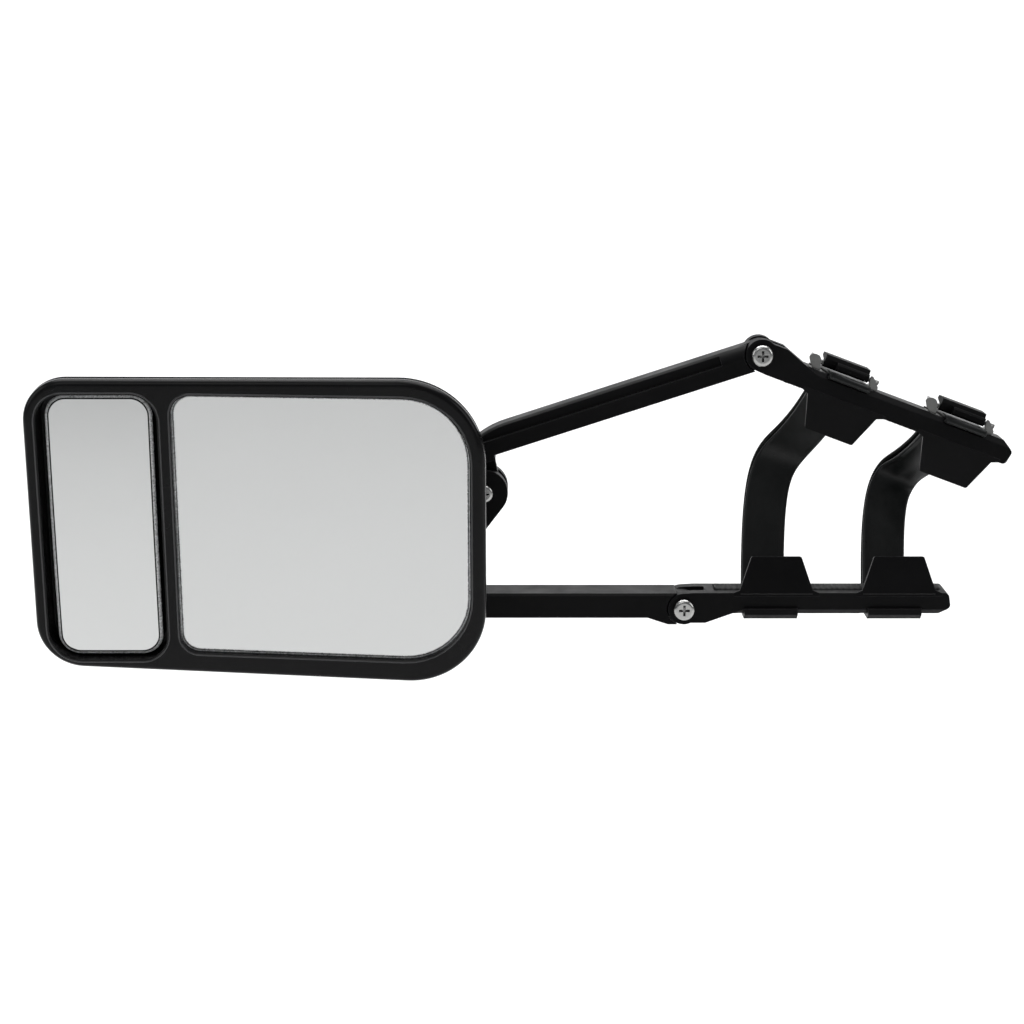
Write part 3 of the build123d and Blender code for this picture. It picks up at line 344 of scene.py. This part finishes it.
# ---------------------------------------------------------------- floor and backdrop, in metres
# One sweep, low enough for the mirror head to swing down over it
HEAD_SWING_ROOM = 0.16
FLOOR_HALF_WIDTH = 4.0
FLOOR_FRONT = -3.0
FLOOR_BACK = 1.6
SWEEP_RADIUS = 1.2
SWEEP_STEPS = 12
BACKDROP_TOP = 4.0
floor_z = cad_box[0].z - HEAD_SWING_ROOM
profile = [(FLOOR_FRONT, 0.0), (FLOOR_BACK, 0.0)]
for step in range(1, SWEEP_STEPS + 1):
    angle = math.radians(90 * step / SWEEP_STEPS)
    profile.append((FLOOR_BACK + SWEEP_RADIUS * math.sin(angle), SWEEP_RADIUS * (1 - math.cos(angle))))
profile.append((FLOOR_BACK + SWEEP_RADIUS, BACKDROP_TOP))
floor_mesh = bpy.data.meshes.new("floor_sweep")
bm = bmesh.new()
left, right = ([bm.verts.new((x, y, floor_z + z)) for y, z in profile]
               for x in (-FLOOR_HALF_WIDTH, FLOOR_HALF_WIDTH))
for i in range(len(profile) - 1):
    bm.faces.new((left[i], right[i], right[i + 1], left[i + 1])).smooth = True
bm.to_mesh(floor_mesh)
bm.free()
floor = bpy.data.objects.new("floor", floor_mesh)
scene.collection.objects.link(floor)
paper = Nodes("paper")
paper.set(Base_Color=paper.mix(paper.noise(scale=6, detail=3), grey(0.90), grey(0.93)))
paper.set(Roughness=paper.spread(paper.noise(scale=30, detail=3), low=0.8, high=0.95))
paper.set(Specular_IOR_Level=0.1)
floor_mesh.materials.append(paper.mat)

# ---------------------------------------------------------------- frames of reference
# Sizes and places below are in millimetres
HEAD_ORIGIN = Vector((-249.0, -57.0, 27.2)) * MM
joints = {joint["name"]: joint for joint in frame["joints"]}
upper_pivot = Vector(joints["upper_clamp_hinge"]["pos_m"])
lower_pivot = Vector(joints["lower_clamp_hinge"]["pos_m"])
bar_along = Vector(joints["cam_lever_1_hinge"]["axis"]).normalized()
bar_out = bar_along.cross(Vector((0, 1, 0)))
bar_tilt = math.atan2(bar_out.x, bar_out.z)
head_up = Vector(joints["spot_turn"]["axis"]).normalized()
head_normal = Vector((1, 0, 0)).cross(head_up)


def high(along, depth, out):
    """A point along, behind and outside the upper bar's pivot."""
    return upper_pivot + (bar_along * along + bar_out * out + Vector((0, depth, 0))) * MM


def low(along, depth, height):
    """A point along, behind and above the lower bar's pivot."""
    return lower_pivot + Vector((along, depth, height)) * MM


def on_head(u, v, depth):
    """A point across and up the bezel's face, at a depth behind it."""
    return HEAD_ORIGIN + (Vector((1, 0, 0)) * u + head_up * v + head_normal * -depth) * MM


def new_object(name, bm, materials, body, smooth=True):
    """Finish a mesh as a piece that rides on a body."""
    bmesh.ops.recalc_face_normals(bm, faces=bm.faces)
    mesh = bpy.data.meshes.new(name)
    bm.to_mesh(mesh)
    bm.free()
    for polygon in mesh.polygons:
        polygon.use_smooth = smooth
    for material in materials:
        mesh.materials.append(material)
    piece = bpy.data.objects.new(name, mesh)
    scene.collection.objects.link(piece)
    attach(piece, body)
    return piece


def ring_faces(bm, rings, material=0):
    """Join closed rings of equal count with quads."""
    for lower, upper in zip(rings, rings[1:]):
        count = len(lower)
        for i in range(count):
            j = (i + 1) % count
            bm.faces.new((lower[i], lower[j], upper[j], upper[i])).material_index = material


def closed_tube(bm, rings):
    """A tube through the rings, with a face over each end."""
    ring_faces(bm, rings)
    bm.faces.new(rings[0])
    bm.faces.new(rings[-1])


# ---------------------------------------------------------------- straps
# Centres are along a bar from its pivot. Other places are depth, and height or distance outwards.
STRAP_CENTRES = (37.2, 91.9)
BAR_HALF_DEPTH = 9.0
BAR_OUTER = 2.5
HALF_WIDTH = 9.5
HALF_THICK = 0.8
# The free tail, which folds under itself in front of the bar and lies a little to one side
TAIL_SHIFT = 2.4
TAIL_Y = -10.9
TAIL_LAP = 2.2
FOLD_RADIUS = 0.84
FOLD_SQUASH = 0.9
# The run over the bar, and the way down round its rear edge: depth, and drop below the run
RUN_LENGTH = 17.4
RUN_SHIFT = 0.2
REAR_EDGE = ((8.8, 0.05), (10.8, 0.7), (12.2, 2.1), (12.9, 3.5))
# The two layers of the bow between the bars, and the eye bar that they go round
OUTER_START = (13.4, -2.0)
INNER_START = (BAR_HALF_DEPTH + HALF_THICK + 0.15, -6.5)
INNER_END = 1.0
EYE = (13.2, -3.5)
EYE_RADIUS = 3.0
OUTER_PULLS = (((30.4, 53.6), (22.0, 86.2)), ((35.3, 38.6), (27.3, 71.8)))
INNER_PULLS = (((34.0, 50.4), (24.6, 81.0)), ((38.8, 37.8), (30.0, 70.4)))
LEG_STEPS = 44
# Half of the strap's section, across and up, with a thicker selvedge at each side
SECTION = ((-9.5, 0.0), (-9.4, 0.42), (-9.05, 0.74), (-8.5, 0.78), (-7.8, 0.72), (-6.5, 0.68),
           (-3.2, 0.68), (0.0, 0.68), (3.2, 0.68), (6.5, 0.68), (7.8, 0.72), (8.5, 0.78), (9.05, 0.74),
           (9.4, 0.42), (9.5, 0.0))
CUP = 0.10
WAVE = 0.12
WAVES_ACROSS = 0.09
WAVES_ALONG = 60
WAVE_SEED = 7.0


def strap_leg(centre, start, end, pulls):
    """A bow from the upper bar to the eye bar, as points with their share of the upper bar's tilt."""
    (start_back, start_out), (end_back, end_up) = pulls
    first = high(centre, *start)
    second = first + (Vector((0, start_back, 0)) - bar_out * start_out) * MM
    last = low(centre, *end)
    third = last + Vector((0, end_back, end_up)) * MM
    points = []
    for step in range(LEG_STEPS + 1):
        t = step / LEG_STEPS
        rest = 1 - t
        point = first * rest ** 3 + second * (3 * t * rest ** 2)
        point += third * (3 * t * t * rest) + last * t ** 3
        points.append((point, 1 - t * t * (3 - 2 * t)))
    return points


def strap_path(number):
    """The strap's middle line from its folded tail to its fixed end.

    Each point has its share of the upper bar's tilt: 1 on that bar and 0 on the lower one.
    """
    centre = STRAP_CENTRES[number]
    top = BAR_OUTER + HALF_THICK
    tail = centre + TAIL_SHIFT
    path = [(high(tail, TAIL_Y + TAIL_LAP, top - 2 * FOLD_RADIUS), 1.0)]
    for turn in range(-90, 91, 30):
        swing = math.radians(turn)
        depth = TAIL_Y - FOLD_RADIUS * math.cos(swing) * FOLD_SQUASH
        path.append((high(tail, depth, top - FOLD_RADIUS + FOLD_RADIUS * math.sin(swing)), 1.0))
    for share in (0.25, 0.5, 0.75, 1.0):
        along = tail + (RUN_SHIFT - TAIL_SHIFT) * share
        path.append((high(along, TAIL_Y + RUN_LENGTH * share, top), 1.0))
    path += [(high(centre, depth, top - drop), 1.0) for depth, drop in REAR_EDGE]
    path += strap_leg(centre, OUTER_START, (EYE[0] + EYE_RADIUS, EYE[1]), OUTER_PULLS[number])
    for turn in range(20, 161, 20):
        swing = math.radians(turn)
        depth = EYE[0] + EYE_RADIUS * math.cos(swing)
        path.append((low(centre, depth, EYE[1] - EYE_RADIUS * math.sin(swing)), 0.0))
    path += strap_leg(centre, INNER_START, (EYE[0] - EYE_RADIUS, EYE[1]), INNER_PULLS[number])[::-1]
    path.append((high(centre, INNER_START[0], INNER_END), 1.0))
    return path


def build_strap(number, ripple):
    """One webbing band with thick selvedges, a slight cup and small handling waves."""
    path = strap_path(number)
    bm = bmesh.new()
    cloth = bm.loops.layers.uv.new("cloth")
    whole_section = list(SECTION) + [(x, -z) for x, z in SECTION[-2:0:-1]]
    rings = []
    travel = []
    run = 0.0
    for index, (point, share) in enumerate(path):
        ahead = path[min(index + 1, len(path) - 1)][0]
        behind = path[max(index - 1, 0)][0]
        tangent = (ahead - behind).normalized()
        angle = bar_tilt * share
        across = Vector((math.cos(angle), 0, -math.sin(angle)))
        across = (across - tangent * across.dot(tangent)).normalized()
        normal = tangent.cross(across)
        if index:
            run += (point - path[index - 1][0]).length
        travel.append(run)
        ring = []
        for x, z in whole_section:
            cup = CUP * (x / HALF_WIDTH) ** 2
            wave = WAVE * noise.noise(Vector((x * WAVES_ACROSS, run * WAVES_ALONG, number * WAVE_SEED)))
            lift = (cup + wave) * (1 - share) + ripple(index / len(path), x)
            ring.append(bm.verts.new(point + (across * x + normal * (z + lift)) * MM))
        rings.append(ring)
    closed_tube(bm, rings)
    bm.verts.index_update()
    place = {}
    for ring, run in zip(rings, travel):
        for vert, (x, z) in zip(ring, whole_section):
            place[vert.index] = (x * MM, run)
    for face in bm.faces:
        for loop in face.loops:
            loop[cloth].uv = place[loop.vert.index]
    strap = new_object(f"strap_webbing_{number + 1}", bm, [finishes["strap_web"]], "upper_clamp")
    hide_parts(f"strap_{number + 1}")


def calm(share, x):
    """No folds."""
    return 0.0


CRUMPLE_HEIGHT = 1.1
CRUMPLE_PLACE = 0.88
CRUMPLE_SPREAD = 0.055
FOLDS_ACROSS = 0.75
FOLD_PHASE = 0.8
FOLDS_ALONG = 60


def crumple(share, x):
    """The soft folds in the inner layer of the outer strap, just below the bar."""
    near = math.exp(-((share - CRUMPLE_PLACE) / CRUMPLE_SPREAD) ** 2)
    fold_across = math.sin(x * FOLDS_ACROSS + FOLD_PHASE)
    fold_along = 0.6 + 0.4 * math.cos(share * FOLDS_ALONG)
    return CRUMPLE_HEIGHT * near * fold_across * fold_along


build_strap(0, calm)
build_strap(1, crumple)

# ---------------------------------------------------------------- mirrors
SMALLEST_RADIUS = 0.2


def rounded(left, right, top, bottom, radii, inset=0.0, arc=10, side=14):
    """Points round a four-sided outline with its own radius at each corner.

    top and bottom are each a height at the left and one at the right. arc and side are the steps
    in a corner and between two corners.
    """
    corners = [Vector((left, top[0])), Vector((right, top[1])),
               Vector((right, bottom[1])), Vector((left, bottom[0]))]
    arcs = []
    for i, corner in enumerate(corners):
        back = (corners[i - 1] - corner).normalized()
        on = (corners[(i + 1) % 4] - corner).normalized()
        half = back.angle(on) / 2
        radius = max(radii[i] - inset, SMALLEST_RADIUS)
        tip = corner + (back + on).normalized() * (inset / math.sin(half))
        middle = tip + (back + on).normalized() * (radius / math.sin(half))
        start = tip + back * (radius / math.tan(half)) - middle
        sweep = -(math.pi - 2 * half)
        run = []
        for step in range(arc + 1):
            turn = sweep * step / arc
            c = math.cos(turn)
            s = math.sin(turn)
            run.append(middle + Vector((start.x * c - start.y * s, start.x * s + start.y * c)))
        arcs.append(run)
    points = []
    for i, run in enumerate(arcs):
        points += run
        following = arcs[(i + 1) % 4][0]
        points += [run[-1].lerp(following, step / side) for step in range(1, side)]
    return points


# A plate's materials, by number
GLASS, RIM, LINE = 0, 1, 2
# The chips in a plate's ground edge: cells to a millimetre, seed and height
CHIPS = ((1.3, 3.0, 0.10), (4.0, 9.0, 0.08))
CHIP_REACH = 1.4
FACE_RINGS = 12


def mirror_plate(name, outline, middle, bands, depth, thick, body, slot, node):
    """A glass plate that replaces a node.

    bands are (inset, drop, material) from its edge inwards, and depth gives its front face.
    """
    bm = bmesh.new()

    def ring(inset, drop, scale=1.0):
        verts = []
        for point in outline(inset):
            u = middle[0] + (point.x - middle[0]) * scale
            v = middle[1] + (point.y - middle[1]) * scale
            jag = 0.0
            if 0 < inset < CHIP_REACH and 0 < drop < thick:
                for cells, seed, rise in CHIPS:
                    jag += rise * noise.noise(Vector((u * cells, v * cells, seed)))
            verts.append(bm.verts.new(on_head(u, v, depth(u, v) + drop + jag)))
        return verts

    rings = [ring(0.0, thick), ring(0.0, bands[0][1])]
    ring_faces(bm, rings, RIM)
    bm.faces.new(rings[0]).material_index = RIM
    previous = rings[-1]
    for inset, drop, material in bands[1:]:
        following = ring(inset, drop)
        ring_faces(bm, [previous, following], material)
        previous = following
    for step in range(1, FACE_RINGS):
        following = ring(bands[-1][0], 0.0, 1 - step / FACE_RINGS)
        ring_faces(bm, [previous, following], GLASS)
        previous = following
    hub = bm.verts.new(on_head(middle[0], middle[1], depth(*middle)))
    for i, vert in enumerate(previous):
        bm.faces.new((vert, previous[(i + 1) % len(previous)], hub)).material_index = GLASS
    piece = new_object(name, bm, [finishes[slot], rim_glass, line_black], body)
    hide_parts(node)


# Across and up the bezel's face from HEAD_ORIGIN, and depths behind it
SPOT_CENTRE = (-65.1, 11.3)
SPOT_SIDES = (-87.3, -42.9)
SPOT_TOP = 68.3
SPOT_BOTTOM = -45.7
SPOT_RADIUS = 9.0
SPOT_DEPTH = 3.6
SPOT_DOME_DIAMETER = 2800
SPOT_THICK = 2.1
SPOT_BANDS = ((0.0, 1.0, RIM), (0.35, 0.55, RIM), (0.8, 0.25, RIM), (1.20, 0.05, RIM), (1.25, 0.02, LINE),
              (1.80, 0.02, LINE), (1.84, 0.0, GLASS), (1.90, 0.0, GLASS), (2.2, 0.0, GLASS))
MAIN_CENTRE = (26.6, 10.0)
MAIN_SIDES = (-34.5, 87.7)
MAIN_TOP = (68.9, 67.0)
MAIN_BOTTOM = (-43.0, -47.8)
MAIN_RADII = (8.0, 28.0, 27.0, 8.0)
MAIN_LAP = 1.0
MAIN_DEPTH = 3.0
MAIN_THICK = 2.9
MAIN_BANDS = ((0.0, 0.4, RIM), (1.25, 0.12, RIM), (1.30, 0.12, LINE), (1.55, 0.12, LINE), (1.62, 0.02, RIM),
              (1.95, 0.0, RIM), (2.0, 0.0, GLASS), (2.06, 0.0, GLASS), (2.4, 0.0, GLASS))


def spot_outline(inset):
    """The blind-spot mirror's edge."""
    return rounded(*SPOT_SIDES, (SPOT_TOP,) * 2, (SPOT_BOTTOM,) * 2, (SPOT_RADIUS,) * 4, inset)


def spot_depth(u, v):
    """The blind-spot mirror's dome, a shallow bowl seen from behind."""
    return SPOT_DEPTH + ((u - SPOT_CENTRE[0]) ** 2 + (v - SPOT_CENTRE[1]) ** 2) / SPOT_DOME_DIAMETER


def main_outline(inset):
    """The main mirror's edge, which laps under the edge of its opening."""
    return rounded(*MAIN_SIDES, MAIN_TOP, MAIN_BOTTOM, MAIN_RADII, inset - MAIN_LAP)


def main_depth(u, v):
    """The main mirror's flat face."""
    return MAIN_DEPTH


mirror_plate("spot_mirror_plate", spot_outline, SPOT_CENTRE, SPOT_BANDS, spot_depth, SPOT_THICK,
             "spot_mirror", "spot_mirror_glass", "spot_glass")
mirror_plate("main_mirror_plate", main_outline, MAIN_CENTRE, MAIN_BANDS, main_depth, MAIN_THICK,
             "mirror_head", "mirror_glass", "main_glass")

# ---------------------------------------------------------------- beads moulded round the bezel's openings
POCKET_SIDES = (-90.3, -40.3)
POCKET_TOP = 69.3
POCKET_BOTTOM = -46.5
POCKET_RADII = (11.2, 11.2, 11.2, 13.5)
BEAD_SIDES = 12
BEAD_SINK = 0.08


def pocket_edge(inset):
    """The edge of the blind-spot mirror's pocket."""
    return rounded(*POCKET_SIDES, (POCKET_TOP,) * 2, (POCKET_BOTTOM,) * 2, POCKET_RADII, inset)


def bead(name, path, radius):
    """A fine round bead on the bezel's face, along a closed path."""
    bm = bmesh.new()
    rings = []
    for i, point in enumerate(path):
        run = (path[(i + 1) % len(path)] - path[i - 1]).normalized()
        side = Vector((run.y, -run.x))
        ring = []
        for step in range(BEAD_SIDES):
            turn = 2 * math.pi * step / BEAD_SIDES
            place = point + side * (radius * math.cos(turn))
            ring.append(bm.verts.new(on_head(place.x, place.y, BEAD_SINK - radius * math.sin(turn))))
        rings.append(ring)
    ring_faces(bm, rings + [rings[0]])
    new_object(name, bm, [bead_highlight_plastic], "mirror_head")


bead("main_opening_bead", main_outline(0.0), radius=0.45)
bead("pocket_bead", pocket_edge(-0.9), radius=0.40)

# ---------------------------------------------------------------- buckle frames
BASE_HALF_LENGTH = 15.0
BASE_HALF_DEPTH = 6.7
BASE_CORNER = 2.0
BASE_OUT = 1.5
BASE_THICK = 1.0
SHEET_THICK = 0.9
EAR_LEAN = math.radians(38)
CHEEK_FOOT = 10.9
CHEEK_OUT = 2.2
# A cheek's outline: depth, share of the cheek's length, and how much short of that
CHEEK = ((-5.6, 0, 0.0), (-5.4, 1, 1.2), (-4.4, 1, 0.0), (-1.0, 1, 0.0), (0.2, 1, 1.2), (2.6, 0, 0.0))
# The rounded ears on the front, along and outwards
FLANGE_Y = -6.0
LEFT_FLANGE = ((-10.8, 2.3), (-14.2, 2.3), (-16.2, 4.5), (-17.4, 6.4), (-17.3, 7.6), (-16.4, 8.4),
               (-14.9, 8.7), (-13.3, 8.5), (-12.3, 7.5), (-11.4, 4.5))
RIGHT_FLANGE = ((12.4, 2.4), (14.8, 2.3), (15.7, 2.9), (15.7, 4.3), (13.8, 6.3), (12.1, 8.0), (11.2, 8.2),
                (10.7, 6.6), (11.3, 4.7))
# Side, the cheek's length and the flange's outline
EARS = ((-1, 8.0, LEFT_FLANGE), (1, 6.0, RIGHT_FLANGE))
BEVEL = 0.22
SHORTEST_BEVELLED = 0.8


def prism(bm, points, shift):
    """A flat plate from its outline, given thickness by a shift."""
    front = [bm.verts.new(point) for point in points]
    back = [bm.verts.new(point + shift) for point in points]
    bm.faces.new(front)
    bm.faces.new(back[::-1])
    ring_faces(bm, [front, back])


def buckle_plate(number):
    """A bent sheet frame: a base, two splayed cheeks and a flange on the front of each."""
    centre = STRAP_CENTRES[number]
    bm = bmesh.new()
    base = rounded(-BASE_HALF_LENGTH, BASE_HALF_LENGTH, (BASE_HALF_DEPTH,) * 2, (-BASE_HALF_DEPTH,) * 2,
                   (BASE_CORNER,) * 4, side=1)
    prism(bm, [high(centre + p.x, p.y, BASE_OUT) for p in base], bar_out * BASE_THICK * MM)
    for side, length, outline in EARS:
        cheek = []
        for depth, share, short in CHEEK:
            reach = length * share - short
            along = centre + side * (CHEEK_FOOT + reach * math.sin(EAR_LEAN))
            cheek.append(high(along, depth, CHEEK_OUT + reach * math.cos(EAR_LEAN)))
        outwards = bar_along * side * math.cos(EAR_LEAN) - bar_out * math.sin(EAR_LEAN)
        prism(bm, cheek, outwards * SHEET_THICK * MM)
        flange = [high(centre + along, FLANGE_Y, out) for along, out in outline]
        prism(bm, flange, Vector((0, SHEET_THICK * MM, 0)))
    long_edges = [edge for edge in bm.edges if edge.calc_length() > SHORTEST_BEVELLED * MM]
    bmesh.ops.bevel(bm, geom=long_edges, offset=BEVEL * MM, segments=2, affect="EDGES", profile=0.6)
    plate = new_object(f"buckle_plate_{number + 1}", bm, [finishes["frame_steel"]], "upper_clamp",
                       smooth=False)
    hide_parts(f"buckle_frame_{number + 1}")


buckle_plate(0)
buckle_plate(1)

# ---------------------------------------------------------------- painted shade lines at the foot of the lower flaps
FLAP_CENTRES = (40.8, 95.0)
FLAP_HALF_LENGTH = 16.0
LINE_HEIGHT = 6.9
LINE_RADII = (0.16, 0.22)
LINE_SAG = 0.12
SAG_WAVES = 0.3
SAG_SEED = (2.0, 5.0)
LINE_STEPS = 40
LINE_SIDES = 10


def flap_groove_shade(number):
    """A fine dark tube, a little uneven, painted as the shade in the crease where a flap stands on the lower bar's
    front edge.
    """
    bm = bmesh.new()
    rings = []
    for step in range(LINE_STEPS + 1):
        along = FLAP_CENTRES[number] - FLAP_HALF_LENGTH + 2 * FLAP_HALF_LENGTH * step / LINE_STEPS
        sag = LINE_SAG * noise.noise(Vector((along * SAG_WAVES, *SAG_SEED)))
        ring = []
        for turn in range(LINE_SIDES):
            angle = 2 * math.pi * turn / LINE_SIDES
            depth = -BAR_HALF_DEPTH - LINE_RADII[0] * math.sin(angle)
            height = LINE_HEIGHT + sag + LINE_RADII[1] * math.cos(angle)
            ring.append(bm.verts.new(low(along, depth, height)))
        rings.append(ring)
    closed_tube(bm, rings)
    new_object(f"flap_groove_shade_{number + 1}", bm, [line_black], "lower_clamp")


flap_groove_shade(0)
flap_groove_shade(1)

# ---------------------------------------------------------------- grip pads
PAD_START = 14.0
PAD_LENGTH = 100.0
PAD_STATIONS = 400
PAD_Y = 1.8
PAD_FOOT = 6.1
PAD_TOP = 8.1
PAD_HALF_WIDTH = 5.0
# The pad's rounded top: depth, and drop below its highest line
PAD_CROWN = ((-5.0, 0.5), (-4.6, 0.12), (-4.0, 0.0), (0.0, 0.0), (4.0, 0.0), (4.6, 0.12), (5.0, 0.5))
END_WIDTH = 0.55
END_ROUNDING = 1.2
RIB_PITCH = 2.5
RIB_DEPTH = 0.32
RIB_POWER = 0.6
PLAIN_END = 1.5


def grip_pad(name, place, body, node):
    """A rubber strip with fine cross ribs, which replaces a node."""
    bm = bmesh.new()
    rings = []
    for i in range(PAD_STATIONS + 1):
        along = PAD_START + PAD_LENGTH * i / PAD_STATIONS
        end = min(i, PAD_STATIONS - i) / PAD_STATIONS * PAD_LENGTH
        pinch = min(1.0, END_WIDTH + end / END_ROUNDING)
        rib = 0.0
        if end > PLAIN_END:
            rib = RIB_DEPTH * (0.5 + 0.5 * math.cos(2 * math.pi * along / RIB_PITCH)) ** RIB_POWER
        section = [(y, PAD_TOP - rib - drop) for y, drop in PAD_CROWN]
        section = [(-PAD_HALF_WIDTH, PAD_FOOT)] + section + [(PAD_HALF_WIDTH, PAD_FOOT)]
        rings.append([bm.verts.new(place(along, PAD_Y + y * pinch, z)) for y, z in section])
    closed_tube(bm, rings)
    pad = new_object(name, bm, [finishes["pad_rubber"]], body)
    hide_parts(node)


def under_high(along, depth, height):
    """A point along, behind and inside the upper bar's pivot."""
    return high(along, depth, -height)


grip_pad("lower_ribbed_pad", low, "lower_clamp", "lower_grip_pad")
grip_pad("upper_ribbed_pad", under_high, "upper_clamp", "upper_grip_pad")
